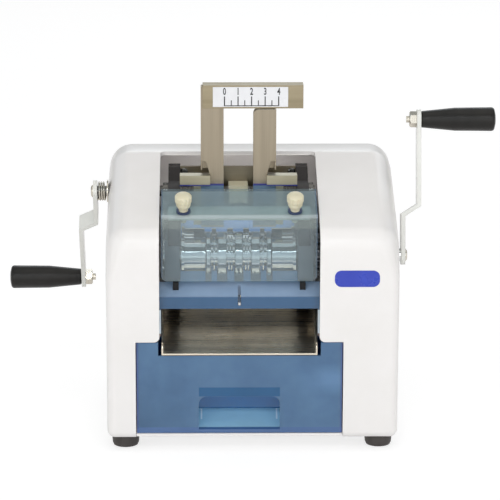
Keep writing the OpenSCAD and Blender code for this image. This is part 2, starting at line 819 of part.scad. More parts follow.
// The leadscrew with its two threads, before its end is drilled
module leadscrew_form() {
    end = mech_left - hub_left;
    turns = floor((frame_in - 1 - thread_in) / screw_pitch);
    mech_rod(end, frame_out + 5, screw_y, screw_z, screw_r - 0.5);
    mech_rod(end, -frame_in + 0.5, screw_y, screw_z, screw_r);
    mech_rod(frame_in - 0.5, frame_out + 5, screw_y, screw_z, screw_r);
    mech_rod(-thread_in, thread_in, screw_y, screw_z, screw_r);
    both_sides() at_mech(thread_in, screw_y, screw_z) rotate([0, 90, 0]) {
        rotate_extrude($fn = fine) for (k = [0 : turns - 1]) translate([0, k * screw_pitch]) thread_ridge();
    }
}

// Half section of one turn of the thread
module thread_ridge() polygon([
    [screw_r - 0.8, 0.1], [screw_r, screw_pitch * 0.4],
    [screw_r, screw_pitch * 0.6], [screw_r - 0.8, screw_pitch - 0.1]
]);

module leadscrew_collars() color("silver") both_sides() difference() {
    mech_rod(frame_out + 0.1, frame_out + 4, screw_y, screw_z, screw_r + 2.2);
    mech_rod(frame_out - 1, frame_out + 5, screw_y, screw_z, screw_r);
}

module centre_support() color("antiquewhite") difference() {
    low = screw_z - 2 * screw_r;
    mech_box(-support_half, support_half, guide_back + 1, rear_plate_y, low, screw_z + screw_r + 1);
    mech_rod(-support_half - 1, support_half + 1, screw_y, screw_z, screw_r + run_gap);
}

module guide_rod() color("silver") mech_rod(-frame_out, frame_out, screw_y, rod_z, rod_r);

// Carrier at the right side; the left one is its mirror image
module carrier() difference() {
    union() {
        mech_box(carrier_in, carrier_out, carrier_front, guide_front + 4.5, carrier_low, carrier_top);
        mech_box(guide_out, web_out, web_front, screw_y + 6.5, rod_z - 6, carrier_low + 1);
        mech_box(nut_in, web_out, guide_back + 0.6, screw_y + 6.5, rod_z - 6, screw_z + 8);
    }
    mech_box(carrier_in - 1, guide_out, guide_front, guide_back + 0.6, rod_z - 7, carrier_top + 1);
    mech_rod(nut_in - 1, web_out + 1, screw_y, screw_z, screw_r + 2);
    mech_rod(nut_in - 1, web_out + 1, screw_y, rod_z, rod_r + run_gap);
}

module mirror_mech() translate([2 * mech_x, 0, 0]) mirror([1, 0, 0]) children();

module right_carrier() color([0.75, 0.73, 0.68]) carrier();
module left_carrier() color([0.75, 0.73, 0.68]) mirror_mech() carrier();

module carrier_nut() {
    mech_tube(nut_in, web_out, screw_y, screw_z, screw_r + 2, screw_r + run_gap);
}

module right_nut() color("goldenrod") carrier_nut();
module left_nut() color("goldenrod") mirror_mech() carrier_nut();

// A guide channel at the right side, open towards the middle
module guide(top) {
    x0 = guide_gap / 2;
    x1 = x0 + guide_w;
    difference() {
        mech_box(x0, x1, guide_front, guide_back, guide_low, top);
        mech_box(x0 - 1, x1 - guide_t, guide_front + guide_t, guide_back - guide_t, guide_low - 1, top + 1);
        at_mech(x0, guide_front - 1, top) rotate([-90, 0, 0]) linear_extrude(guide_depth + 2) corner_cut(4);
        at_mech(x1, guide_front + guide_t + 0.1, carrier_top) rotate([90, 0, 0]) linear_extrude(guide_t + 1) {
            polygon([[1, -1], [-6.8, -1], [-6.6, 0], [-4, 9.6], [1, 9.6]]);
        }
        mech_box(x1 - 8, x1 + 1, guide_front + guide_t, guide_back + 1, carrier_top - 1, carrier_top + 3);
    }
}

module right_guide() color([0.7, 0.68, 0.62]) guide(guide_top);
module left_guide() color([0.7, 0.68, 0.62]) mirror_mech() guide(bar_top - bar_sheet);

// Clear blue plate in front of the right guide's lower half, with a strip under its carrier
module slide_plate() {
    x0 = guide_gap / 2;
    low = carrier_low - slide_strip_h;
    face = guide_front - slide_t;
    mech_box(x0, guide_out - 0.2, face, guide_front, guide_low + 1.5, carrier_low);
    mech_box(carrier_in, guide_out - 0.2, carrier_front, guide_front, low, carrier_low);
    mech_box(carrier_in, carrier_out, carrier_front, web_front - 0.1, low, carrier_low);
}

module right_slide_plate() color([0.4, 0.5, 0.85, 0.6]) slide_plate();
module left_slide_plate() color([0.4, 0.5, 0.85, 0.6]) mirror_mech() slide_plate();

module scale_bar() color([0.75, 0.73, 0.68]) {
    x0 = -guide_gap / 2 - guide_w + 1.4;
    face = guide_front - bar_sheet;
    mech_box(x0, x0 + bar_l, face, guide_front, bar_low, bar_top);
    mech_box(x0, x0 + bar_l, face, face + bar_d, bar_top - bar_sheet, bar_top);
}

module scale_label() color("white") {
    face = guide_front - bar_sheet;
    mech_box(scale_zero - 8.8, scale_zero + scale_l + 6.8, face - 0.3, face, bar_low + 1.2, bar_top - 1.2);
}

// Guard cover

// Outline of the cover as depth and height
module cover_outline() {
    dy = cos(brow_slope) * cover_top_d;
    dz = sin(brow_slope) * cover_top_d;
    t_y = cover_t * sin(brow_slope);
    t_z = cover_t * cos(brow_slope);
    y = cover_y + cover_nose;
    polygon([
        [cover_y, cover_low], [cover_y, cover_bend_z - 1.2], [y, cover_bend_z],
        [y + dy, cover_bend_z + dz], [y + dy + t_y, cover_bend_z + dz - t_z],
        [cover_y + cover_t, cover_bend_z - t_z + 0.2], [cover_y + cover_t, cover_low]
    ]);
}

// Puts its children on the cover's sloping top, with +Z square to it
module on_cover(x, along) {
    y = cover_y + cover_nose + along * cos(brow_slope);
    at_mech(x, y, cover_bend_z + along * sin(brow_slope)) rotate([brow_slope, 0, 0]) children();
}

module guard_cover() color([0.6, 0.75, 0.85, 0.4]) difference() {
    mech_plate(-cover_half, cover_half) cover_outline();
    for (s = [-1, 1]) on_cover(s * knob_x, knob_along) {
        cylinder(r = stud_r + 0.6, h = 12, center = true, $fn = fine);
    }
    both_sides() at_mech(cover_half, cover_y - 1, cover_low) {
        rotate([90, 0, 0]) mirror([0, 0, 1]) mirror([1, 0, 0]) linear_extrude(cover_t + 2) corner_cut(4);
    }
}

// Bar under the cover that lies on the frames' front corners
module cover_bar() color("silver") difference() {
    on_cover(0, bar_start) translate([-frame_out, 0, -cover_t - cover_lift - bar_t]) {
        cube([2 * frame_out, bar_w, bar_t]);
    }
    for (s = [-1, 1]) on_cover(s * knob_x, knob_along) {
        cylinder(r = stud_r + run_gap, h = 20, center = true, $fn = fine);
    }
}

// A thumbscrew with a mushroom head and a thin stud, standing on its washer
module thumbscrew(x) on_cover(x, knob_along) {
    translate([0, 0, -9]) cylinder(r = stud_r, h = 10 + washer_t, $fn = fine);
    translate([0, 0, washer_t + 0.1]) difference() {
        rotate_extrude($fn = fine) polygon([
            [0, 0], [knob_neck, 0], [knob_neck, knob_h * 0.12], [knob_r - 1.7, knob_h * 0.22],
            [knob_r - 0.9, knob_h * 0.34], [knob_r - 0.6, knob_h * 0.54], [knob_r, knob_h * 0.6],
            [knob_r, knob_h * 0.86], [knob_r - 0.9, knob_h - 0.8], [knob_r - 2.6, knob_h], [0, knob_h]
        ]);
        for (k = [1 : knob_flutes]) rotate(k * 360 / knob_flutes) {
            translate([knob_r + 0.5, 0, knob_h * 0.57]) cylinder(r = 1, h = knob_h, $fn = soft);
        }
    }
}

module thumbscrew_washers() color([0.1, 0.12, 0.3]) for (s = [-1, 1]) on_cover(s * knob_x, knob_along) {
    difference() {
        cylinder(r = knob_r - 0.9, h = washer_t, $fn = fine);
        translate([0, 0, -1]) cylinder(r = stud_r + 0.3, h = washer_t + 2, $fn = fine);
    }
}

module left_thumbscrew() color([0.85, 0.83, 0.72]) thumbscrew(-knob_x);
module right_thumbscrew() color([0.85, 0.83, 0.72]) thumbscrew(knob_x);

// Lower panel, chute and drawer

// Height of the panel's sloping face at a depth
function panel_face(y) = panel_bend + (y - panel_y) * tan(panel_slope);

module lower_panel() color([0.35, 0.55, 0.72]) {
    drop = panel_t / cos(panel_slope);
    side = chute_w / 2 + 0.4;
    difference() {
        mech_plate(-panel_half, panel_half) polygon([
            [panel_y, panel_low], [panel_y, panel_bend], [frame_front, panel_face(frame_front)],
            [frame_front, flange_low], [frame_front - panel_t, flange_low],
            [frame_front - panel_t, panel_face(frame_front - panel_t) - drop],
            [panel_y + panel_t, panel_face(panel_y + panel_t) - drop], [panel_y + panel_t, panel_low]
        ]);
        mech_box(-1.1, 1.1, panel_y - 1, frame_front - panel_t - 1, finger_z, panel_face(frame_front) + 1);
    }
    mech_plate(0.3 - frame_in, frame_in - 0.3) polygon([
        [frame_front - panel_t, panel_face(frame_front - panel_t)], [panel_back, panel_face(panel_back)],
        [panel_back, panel_face(panel_back) - drop], [frame_front - panel_t, panel_face(frame_front - panel_t) - drop]
    ]);
    both_sides() {
        mech_box(side, side + panel_t, panel_y + 0.2, frame_front - panel_t, deck_top, panel_low + 1);
    }
}

// Clear blue plate behind the rollers that keeps the pills over the drawer
module rear_baffle() color([0.4, 0.55, 0.8, 0.7]) {
    back = tie_places[1][0] - tie_r - 0.1;
    half = frame_in - 0.3;
    mech_box(-half, half, back - panel_t, back, deck_top + 3.5, tie_places[2][1] + 2);
}

module stripper_finger() color("silver") difference() {
    y = tie_places[0][0];
    z = tie_places[0][1];
    union() {
        mech_rod(-0.8, 0.8, y, z, tie_r + 2.5);
        mech_plate(-0.8, 0.8) polygon([
            [panel_y - 0.5, finger_z + 0.3], [panel_y - 0.5, finger_z + 2.3], [frame_front, flange_low - 0.4],
            [y - 2, z + tie_r + 1.5], [y - 2, z - tie_r - 1]
        ]);
    }
    mech_rod(-1, 1, y, z, tie_r);
}

module cover_pads() color("black") both_sides() mech_plate(pad_x - 2.1, pad_x + 2.1) polygon([
    [cover_y - 4, panel_face(cover_y - 4)], [pad_back, panel_face(pad_back)],
    [pad_back, cover_low - 0.3], [cover_y - 4, cover_low - 0.3]
]);

// Height of the chute's underside at a depth
function chute_low(y) = y < chute_y[1]
    ? lip_z + (y - chute_y[0]) * tan(chute_slope)
    : chute_z1 + (y - chute_y[1]) * tan(chute_rear_slope);

// Outline of a strip of the chute between two depths, with its height above the underside
module chute_strip(ys, rise) polygon(concat(
    [for (y = ys) [y, chute_low(y)]],
    [for (k = [len(ys) - 1 : -1 : 0]) [ys[k], chute_low(ys[k]) + rise]]
));

module chute() color([0.62, 0.58, 0.52]) {
    rise = chute_t / cos(chute_slope);
    half = chute_w / 2;
    mech_plate(-half, half) chute_strip([chute_y[0], chute_y[1], chute_y[2]], rise);
    mech_plate(2 - frame_in, frame_in - 2) chute_strip([chute_y[2] - 0.2, chute_y[3]], rise);
    both_sides() {
        mech_plate(half - chute_t, half) difference() {
            chute_strip([chute_y[0], chute_y[1], chute_y[2] - 4], rise + chute_side);
            translate([chute_y[0], chute_low(chute_y[0]) + rise + chute_side]) mirror([0, 1]) corner_cut(3);
        }
        y = chute_y[2];
        mech_box(frame_in + 1, half - 2, y - 1.5, y - 0.2, deck_top, chute_low(y) + 0.5);
    }
}

// Drawer

// Outline of the finger pocket as depth and height, grown by a wall
module pocket_outline(grow) {
    y = drawer_y;
    foot = pocket_foot - grow;
    polygon([
        [y - 1, foot - 0.3], [y, foot], [y + pocket_d * 0.5, foot + 2.6], [y + pocket_d + grow, pocket_step - grow],
        [y + pocket_d + grow, pocket_top + grow], [y - 1, pocket_top + grow]
    ]);
}

// The finger pocket's space, grown by a wall
module pocket_form(grow) {
    half = pocket_w / 2 + grow;
    intersection() {
        mech_plate(-half, half) pocket_outline(grow);
        at_mech(0, 0, 0) rotate([90, 0, 0]) mirror([0, 0, 1]) linear_extrude(pocket_d + 10) {
            round_rect(-half, pocket_foot - 12, half, pocket_top + grow, 6 + grow);
        }
    }
}

module drawer() color([0.3, 0.5, 0.75, 0.8]) {
    w = drawer_wall;
    y0 = drawer_y;
    y1 = drawer_y + drawer_l;
    h = drawer_half;
    mouth = chute_w / 2 + 2.5;
    difference() {
        union() {
            difference() {
                mech_box(-h, h, y0, y1, drawer_low, drawer_top);
                mech_box(-h + w, h - w, y0 + w, y1 - w, drawer_low + w, drawer_top + 1);
                mech_box(-mouth, mouth, y0 - 1, y0 + w + 1, drawer_mid, drawer_top + 1);
                mech_box(-h + w, h - w, y1 - w - 1, y1 + 1, drawer_mid - 2, drawer_top + 1);
            }
            difference() {
                pocket_form(w);
                mech_box(-h, h, y0 - 5, y0, drawer_low - 9, drawer_top);
                mech_box(-h, h, y0 - 5, y1, drawer_low - 9, drawer_low);
            }
        }
        pocket_form(0);
    }
}

// Cranks

// Strap outline seen from the front, with X outwards from the casing
module strap_profile() {
    polygon([
        [0, -strap_w / 2], [strap_t, -strap_w / 2], [strap_t, 29], [strap_t + strap_step, 36.5],
        [strap_t + strap_step, crank_l + strap_w / 2], [strap_step, crank_l + strap_w / 2],
        [strap_step, 38], [0, 30.5]
    ]);
}

// A crank arm with its hub at the origin and its grip along +Z, stepping towards +X
module crank_arm() difference() {
    intersection() {
        rotate([90, 0, 0]) translate([0, 0, -strap_w / 2]) linear_extrude(strap_w) strap_profile();
        rotate([90, 0, 90]) linear_extrude(strap_t + strap_step + 1) {
            round_rect(-strap_w / 2, -strap_w / 2, strap_w / 2, crank_l + strap_w / 2, 5);
        }
    }
    translate([-1, 0, 0]) rotate([0, 90, 0]) cylinder(r = hub_bolt_r, h = strap_t + 2, $fn = fine);
    translate([strap_step - 1, 0, crank_l]) rotate([0, 90, 0]) {
        cylinder(r = grip_stud_r, h = strap_t + 2, $fn = fine);
    }
}

// Places a crank by its side of the casing and its lean
module on_right_hub() at(hub_right, roller_y, roller_z) rotate([-right_lean, 0, 0]) children();
module on_left_hub() at(-hub_left, screw_y, screw_z) rotate([left_lean, 0, 0]) {
    mirror([1, 0, 0]) mirror([0, 0, 1]) children();
}

// The hub bolt, and the stud and nut that carry the grip
module crank_fasteners() {
    translate([strap_t, 0, 0]) rotate([0, 90, 0]) {
        rotate_extrude($fn = fine) polygon([
            [0, 0], [4.7, 0], [4.7, 0.8], [3.4, 1.6], [1.5, 1.6], [1.5, 0.9], [0, 0.9]
        ]);
        translate([0, 0, -strap_t - 10]) cylinder(r = hub_bolt_r, h = strap_t + 10, $fn = fine);
    }
    translate([strap_step, 0, crank_l]) rotate([0, 90, 0]) {
        stud_end = strap_t + grip_l - 9;
        translate([0, 0, -nut_h - 2.4]) cylinder(r = grip_stud_r, h = stud_end + nut_h + 2.4, $fn = fine);
        translate([0, 0, -nut_h]) intersection() {
            cylinder(r = nut_r, h = nut_h, $fn = 6);
            cylinder(r1 = nut_r * 0.85, r2 = nut_r * 0.85 + nut_h, h = nut_h, $fn = fine);
        }
    }
}

module crank_grip() {
    bore = grip_stud_r + run_gap;
    neck = grip_neck_r;
    translate([strap_step + strap_t + 0.4, 0, crank_l]) rotate([0, 90, 0]) rotate_extrude($fn = fine) polygon([
        [bore, 0], [neck - 0.5, 0], [neck, 0.6], [grip_r - 0.3, grip_l * 0.45], [grip_r, grip_l - 3],
        [grip_r - 0.4, grip_l - 1.8], [grip_r - 1.3, grip_l - 1.1], [grip_r * 0.5, grip_l - 0.3],
        [0, grip_l], [0, grip_l - 8], [bore, grip_l - 8]
    ]);
}

module right_crank_arm() color("gainsboro") on_right_hub() crank_arm();
module left_crank_arm() color("gainsboro") on_left_hub() crank_arm();
module right_crank_fasteners() color("silver") on_right_hub() crank_fasteners();
module left_crank_fasteners() color("silver") on_left_hub() crank_fasteners();
module right_grip() color([0.08, 0.08, 0.08]) on_right_hub() crank_grip();
module left_grip() color([0.08, 0.08, 0.08]) on_left_hub() crank_grip();

// Places on the left hub's axis, with +Z towards the casing
module on_left_axis() at(-hub_left, screw_y, screw_z) rotate([0, 90, 0]) children();

// A point on the spring wire's skin: k steps along it and j sides around it
function wire_point(k, j) =
    let (a = 360 * k / spring_steps, b = 360 * j / spring_sides)
    let (rise = left_stand - washer_t - 2 * wire_r - 0.4)
    let (r = spring_mid_r + wire_r * cos(b))
    [r * cos(a), r * sin(a), wire_r + rise * k / (spring_turns * spring_steps) + wire_r * sin(b)];

module brake_spring() color([0.72, 0.68, 0.6]) {
    n = round(spring_turns * spring_steps);
    m = spring_sides;
    on_left_axis() polyhedron(
        points = [for (k = [0 : n], j = [0 : m - 1]) wire_point(k, j)],
        faces = concat(
            [[for (j = [0 : m - 1]) j]],
            [for (k = [0 : n - 1], j = [0 : m - 1]) each [
                [k * m + j, (k + 1) * m + j, (k + 1) * m + (j + 1) % m],
                [k * m + j, (k + 1) * m + (j + 1) % m, k * m + (j + 1) % m]
            ]],
            [[for (j = [m - 1 : -1 : 0]) n * m + j]]
        )
    );
}

module spring_washer() color("silver") on_left_axis() difference() {
    translate([0, 0, left_stand - washer_t]) cylinder(r = 8.5, h = washer_t, $fn = fine);
    cylinder(r = screw_r + 0.5, h = left_stand + 1, $fn = fine);
}

casing();
rear_cover();
rear_cover_screws();
base_plate();
feet();
foot_screws();
chassis();
left_frame();
right_frame();
left_bearing_block();
right_bearing_block();
frame_bushes();
cross_bars();
cross_bar_nuts();
rear_plate();
rear_plate_screws();
gear_plate();
gear_plate_bushes();
main_shaft();
main_roller();
pressing_discs();
thin_rings();
rear_shaft();
rear_roller();
drive_gear();
driven_gear();
leadscrew();
leadscrew_collars();
centre_support();
guide_rod();
left_carrier();
right_carrier();
left_nut();
right_nut();
left_guide();
right_guide();
left_slide_plate();
right_slide_plate();
scale_bar();
scale_label();
guard_cover();
cover_bar();
left_thumbscrew();
right_thumbscrew();
thumbscrew_washers();
cover_pads();
lower_panel();
rear_baffle();
stripper_finger();
chute();
drawer();
badge();
right_crank_arm();
right_crank_fasteners();
right_grip();
left_crank_arm();
left_crank_fasteners();
left_grip();
brake_spring();
spring_washer();
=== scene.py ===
import json
import math

import bmesh
import bpy
from mathutils import Matrix, Vector


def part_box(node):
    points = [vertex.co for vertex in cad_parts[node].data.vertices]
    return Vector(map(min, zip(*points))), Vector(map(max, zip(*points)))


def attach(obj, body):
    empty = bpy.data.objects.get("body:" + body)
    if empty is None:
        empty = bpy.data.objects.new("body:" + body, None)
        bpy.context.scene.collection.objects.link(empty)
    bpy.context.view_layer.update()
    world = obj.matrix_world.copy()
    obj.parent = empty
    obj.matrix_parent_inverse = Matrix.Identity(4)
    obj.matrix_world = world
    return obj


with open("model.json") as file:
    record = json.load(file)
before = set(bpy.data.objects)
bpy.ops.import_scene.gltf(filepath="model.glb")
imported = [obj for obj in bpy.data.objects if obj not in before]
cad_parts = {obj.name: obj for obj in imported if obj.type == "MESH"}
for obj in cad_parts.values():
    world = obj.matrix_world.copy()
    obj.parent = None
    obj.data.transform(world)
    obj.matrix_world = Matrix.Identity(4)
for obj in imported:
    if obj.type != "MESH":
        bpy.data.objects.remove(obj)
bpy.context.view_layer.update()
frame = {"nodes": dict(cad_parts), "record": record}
scene = bpy.context.scene
nodes = frame["nodes"]
scene.view_settings.view_transform = "Standard"

casing_lo, casing_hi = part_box("casing")
drawer_lo, drawer_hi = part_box("drawer")
cover_lo, cover_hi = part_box("guard_cover")
panel_lo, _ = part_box("lower_panel")
_, slide_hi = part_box("left_slide_plate")
label_lo, label_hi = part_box("scale_label")
case_x = (casing_lo.x + casing_hi.x) / 2
mech_x = (drawer_lo.x + drawer_hi.x) / 2


def behind_front(depth):
    """The Y of a place that lies so far behind the casing's front face."""
    return casing_lo.y + depth


# The pinhole camera fitted to the photograph, aimed at a point of the casing's front face
ELEVATION, TURN, DISTANCE = math.radians(15.0), math.radians(0.5), 2.0
AIM_HEIGHT = 0.0845
SIZE_PX, FOCAL_PX = 500.0, 2740.0
AIM_PX, MIDDLE_PX = (252.7, 342.0), (223.0, 250.0)
SENSOR_MM = 36.0
CLIP_NEAR, CLIP_FAR = 0.1, 20.0


def make_camera():
    """The photograph is a crop of this camera's picture. The sideways part of the crop is a small shift."""
    level = math.cos(ELEVATION)
    look = Vector((math.sin(TURN) * level, math.cos(TURN) * level, -math.sin(ELEVATION)))
    right = look.cross(Vector((0, 0, 1))).normalized()
    up = right.cross(look)
    across = (AIM_PX[0] - MIDDLE_PX[0]) / FOCAL_PX
    above = -(AIM_PX[1] - MIDDLE_PX[1]) / FOCAL_PX
    aim = Vector((case_x, casing_lo.y, AIM_HEIGHT))
    eye = aim - DISTANCE * (look + across * right + above * up)

    data = bpy.data.cameras.new("camera")
    data.sensor_width = SENSOR_MM
    data.sensor_fit = "HORIZONTAL"
    data.lens = FOCAL_PX / SIZE_PX * SENSOR_MM
    data.shift_x = (SIZE_PX / 2 - MIDDLE_PX[0]) / SIZE_PX
    data.clip_start, data.clip_end = CLIP_NEAR, CLIP_FAR
    camera = bpy.data.objects.new("camera", data)
    camera.matrix_world = Matrix((
        (right.x, up.x, -look.x, eye.x),
        (right.y, up.y, -look.y, eye.y),
        (right.z, up.z, -look.z, eye.z),
        (0, 0, 0, 1),
    ))
    scene.collection.objects.link(camera)
    scene.camera = camera


make_camera()


# Node trees
WHITE = (1.0, 1.0, 1.0, 1.0)
FULL = (0.0, 1.0)
MOST = (0.3, 0.7)  # where most values of a noise lie
RARE = (0.70, 0.76)  # where only a noise's peaks lie
SOFT = 0.0003  # width of a zone's border to either side
FAR = 1.0  # further than any piece reaches
BEVEL_SAMPLES = 4


def srgb(r, g, b):
    """A colour as it reads in the photograph, 0 to 255, as the shader's linear one."""
    def linear(v):
        v /= 255.0
        return v / 12.92 if v <= 0.04045 else ((v + 0.055) / 1.055) ** 2.4
    return (linear(r), linear(g), linear(b), 1.0)


def dimmed(colour, share):
    """A colour at a share of its brightness."""
    return tuple(share * v for v in colour[:3]) + (1.0,)


class Kit:
    """The node tree of a material or world, with short calls for the nodes used here."""

    def __init__(self, owner, output="ShaderNodeOutputMaterial", coordinates="Object"):
        owner.use_nodes = True
        self.owner = owner
        self.tree = owner.node_tree
        self.tree.nodes.clear()
        self.out = self.add(output)
        self.coords = self.add("ShaderNodeTexCoord").outputs[coordinates]

    def add(self, kind, **values):
        n = self.tree.nodes.new(kind)
        for name, v in values.items():
            setattr(n, name, v)
        return n

    def put(self, value, socket):
        """A number or tuple is set on the socket itself, and anything else is linked to it."""
        if isinstance(value, (int, float, tuple)):
            socket.default_value = value
        else:
            self.tree.links.new(value, socket)

    def shader(self, kind, **values):
        n = self.add(kind)
        for name, v in values.items():
            self.put(v, n.inputs[name.replace("_", " ")])
        return n

    def surface(self, **values):
        return self.shader("ShaderNodeBsdfPrincipled", **values)

    def join(self, fac, a, b):
        """Shader a where fac is 0 and shader b where it is 1."""
        n = self.add("ShaderNodeMixShader")
        for v, socket in zip((fac, a.outputs[0], b.outputs[0]), n.inputs):
            self.put(v, socket)
        return n

    def done(self, shader):
        self.put(shader.outputs[0], self.out.inputs["Surface"])
        return self.owner

    def mapped(self, scale, shift=(0, 0, 0)):
        m = self.add("ShaderNodeMapping")
        self.put(scale, m.inputs["Scale"])
        self.put(shift, m.inputs["Location"])
        self.put(self.coords, m.inputs["Vector"])
        return m.outputs["Vector"]

    def noise(self, scale=1.0, detail=3.0, rough=0.5, at=None):
        """scale is the number of its cells in a metre."""
        n = self.add("ShaderNodeTexNoise")
        self.put(scale, n.inputs["Scale"])
        self.put(detail, n.inputs["Detail"])
        self.put(rough, n.inputs["Roughness"])
        self.put(self.coords if at is None else at, n.inputs["Vector"])
        return n.outputs["Fac"]

    def ramp(self, fac, stops):
        """A colour ramp of several stops, each a place and a colour."""
        n = self.add("ShaderNodeValToRGB")
        elements = n.color_ramp.elements
        while len(elements) < len(stops):
            elements.new(0.5)
        for element, (place, colour) in zip(elements, stops):
            element.position = place
            element.color = colour
        self.put(fac, n.inputs["Fac"])
        return n.outputs["Color"]

    def remap(self, value, span, result):
        """Turns a span of values into another one and holds it at the ends."""
        n = self.add("ShaderNodeMapRange", clamp=True)
        for name, v in zip(("From Min", "From Max", "To Min", "To Max"), (*span, *result)):
            self.put(v, n.inputs[name])
        self.put(value, n.inputs["Value"])
        return n.outputs["Result"]

    def calc(self, operation, a, b=None, clamp=False):
        n = self.add("ShaderNodeMath", operation=operation, use_clamp=clamp)
        self.put(a, n.inputs[0])
        if b is not None:
            self.put(b, n.inputs[1])
        return n.outputs["Value"]

    def mix(self, fac, a, b):
        """Colour a where fac is 0 and colour b where it is 1."""
        n = self.add("ShaderNodeMix", data_type="RGBA")
        for name, kind, v in (("Factor", "VALUE", fac), ("A", "RGBA", a), ("B", "RGBA", b)):
            self.put(v, next(s for s in n.inputs if s.name == name and s.type == kind))
        return next(s for s in n.outputs if s.type == "RGBA")

    def axis(self, name):
        s = self.add("ShaderNodeSeparateXYZ")
        self.put(self.coords, s.inputs["Vector"])
        return s.outputs[name]

    def bump(self, height, strength, distance, after=None):
        n = self.add("ShaderNodeBump")
        self.put(strength, n.inputs["Strength"])
        self.put(distance, n.inputs["Distance"])
        self.put(height, n.inputs["Height"])
        if after is not None:
            self.put(after, n.inputs["Normal"])
        return n.outputs["Normal"]

    def round_edges(self, radius):
        n = self.add("ShaderNodeBevel", samples=BEVEL_SAMPLES)
        self.put(radius, n.inputs["Radius"])
        return n.outputs["Normal"]

    def within(self, axis, low, high, soft=SOFT):
        """1 between two places along an axis and 0 outside them, with a soft border."""
        v = self.axis(axis)
        rise = self.remap(v, (low - soft, low + soft), FULL)
        fall = self.remap(v, (high - soft, high + soft), (1.0, 0.0))
        return self.calc("MULTIPLY", rise, fall)

    def zone(self, *spans):
        """The overlap of several spans, each an axis with its low and high place."""
        mask = None
        for span in spans:
            one = self.within(*span)
            mask = one if mask is None else self.calc("MULTIPLY", mask, one)
        return mask

    def glossy(self):
        return self.add("ShaderNodeLightPath").outputs["Is Glossy Ray"]

    def seen(self):
        """1 for what the camera sees, straight, mirrored or through a clear sheet, and 0 for other light."""
        path = self.add("ShaderNodeLightPath").outputs
        mirrored = self.calc("MAXIMUM", path["Is Camera Ray"], path["Is Glossy Ray"])
        return self.calc("MAXIMUM", mirrored, path["Is Transmission Ray"])


def material_kit(name):
    return Kit(bpy.data.materials.new(name))


def below(axis, high, soft=SOFT):
    """A zone's span from far off up to one place."""
    return (axis, high - FAR, high, soft)


def over(axis, low, soft=SOFT):
    """A zone's span from one place to far off."""
    return (axis, low, low + FAR, soft)


def grain_scale(axis, along, across):
    """A texture scale that is coarse along the grain's axis and fine across it."""
    return tuple(along if name == axis else across for name in "XYZ")


# The makers of materials
def wear(k, scale):
    """A faint large-scale cloud from handling, between 0 and 1."""
    handled = (0.35, 0.7)
    return k.remap(k.noise(scale, detail=4.0, rough=0.6), handled, FULL)


def painted(name, colour, dark, rough=0.34, peel=900.0, edge=0.0006, coat=0.25, shine=0.5):
    """Baked paint on sheet metal: orange peel, faint handling marks, fine specks and softened edges."""
    cloud_scale, cloud_share = 22.0, 0.6
    speck_scale, speck_span, speck_share = 2600.0, (0.66, 0.74), 0.12
    polish_scale, polished, dulled = 35.0, 0.05, 0.07
    peel_strength, peel_depth, coat_rough = 0.35, 0.00006, 0.12
    k = material_kit(name)
    handled = k.calc("MULTIPLY", wear(k, cloud_scale), cloud_share)
    speck = k.remap(k.noise(speck_scale, detail=2.0), speck_span, (0.0, speck_share))
    polish = k.noise(polish_scale, detail=5.0, rough=0.6)
    return k.done(k.surface(
        Base_Color=k.mix(speck, k.mix(handled, colour, dark), dark),
        Roughness=k.remap(polish, MOST, (rough - polished, rough + dulled)),
        Normal=k.bump(k.noise(peel, rough=0.55), peel_strength, peel_depth, k.round_edges(edge)),
        Coat_Weight=coat, Coat_Roughness=coat_rough, Specular_IOR_Level=shine))


def brushed(name, light, dark, axis="X", rough=0.36, metal=1.0):
    """Rolled sheet with a fine brushed grain along one axis, broader soft bands and a few scratches."""
    grain_along, grain_across, band_along, band_across = 24, 2600, 5, 160
    scratch_stretch, grain_share, scratch_share = 0.45, 0.25, 0.25
    band_shift, scratch_shift = (3.1, 7.7, 1.3), (9.0, 2.0, 5.0)
    grain_span, polished, dulled = (0.25, 0.75), 0.07, 0.1
    wear_scale, wear_rough = 40.0, 0.05
    grain_strength, grain_depth, edge, stretch = 0.22, 0.00003, 0.0003, 0.4
    k = material_kit(name)
    fine = grain_scale(axis, grain_along, grain_across)
    longer = tuple(scratch_stretch * v for v in fine)
    grain = k.noise(rough=0.6, at=k.mapped(fine))
    bands = k.noise(at=k.mapped(grain_scale(axis, band_along, band_across), band_shift))
    scratch = k.remap(k.noise(detail=2.0, at=k.mapped(longer, scratch_shift)), RARE, FULL)
    tone = k.mix(k.remap(bands, MOST, FULL), light, dark)
    tone = k.mix(k.remap(grain, MOST, (0.0, grain_share)), tone, dark)
    tone = k.mix(k.calc("MULTIPLY", scratch, scratch_share), tone, light)
    grain_rough = k.remap(grain, grain_span, (rough - polished, rough + dulled))
    worn_rough = k.remap(wear(k, wear_scale), FULL, (0.0, wear_rough))
    return k.done(k.surface(
        Base_Color=tone, Metallic=metal, Anisotropic=stretch,
        Roughness=k.calc("ADD", grain_rough, worn_rough),
        Normal=k.bump(grain, grain_strength, grain_depth, k.round_edges(edge))))


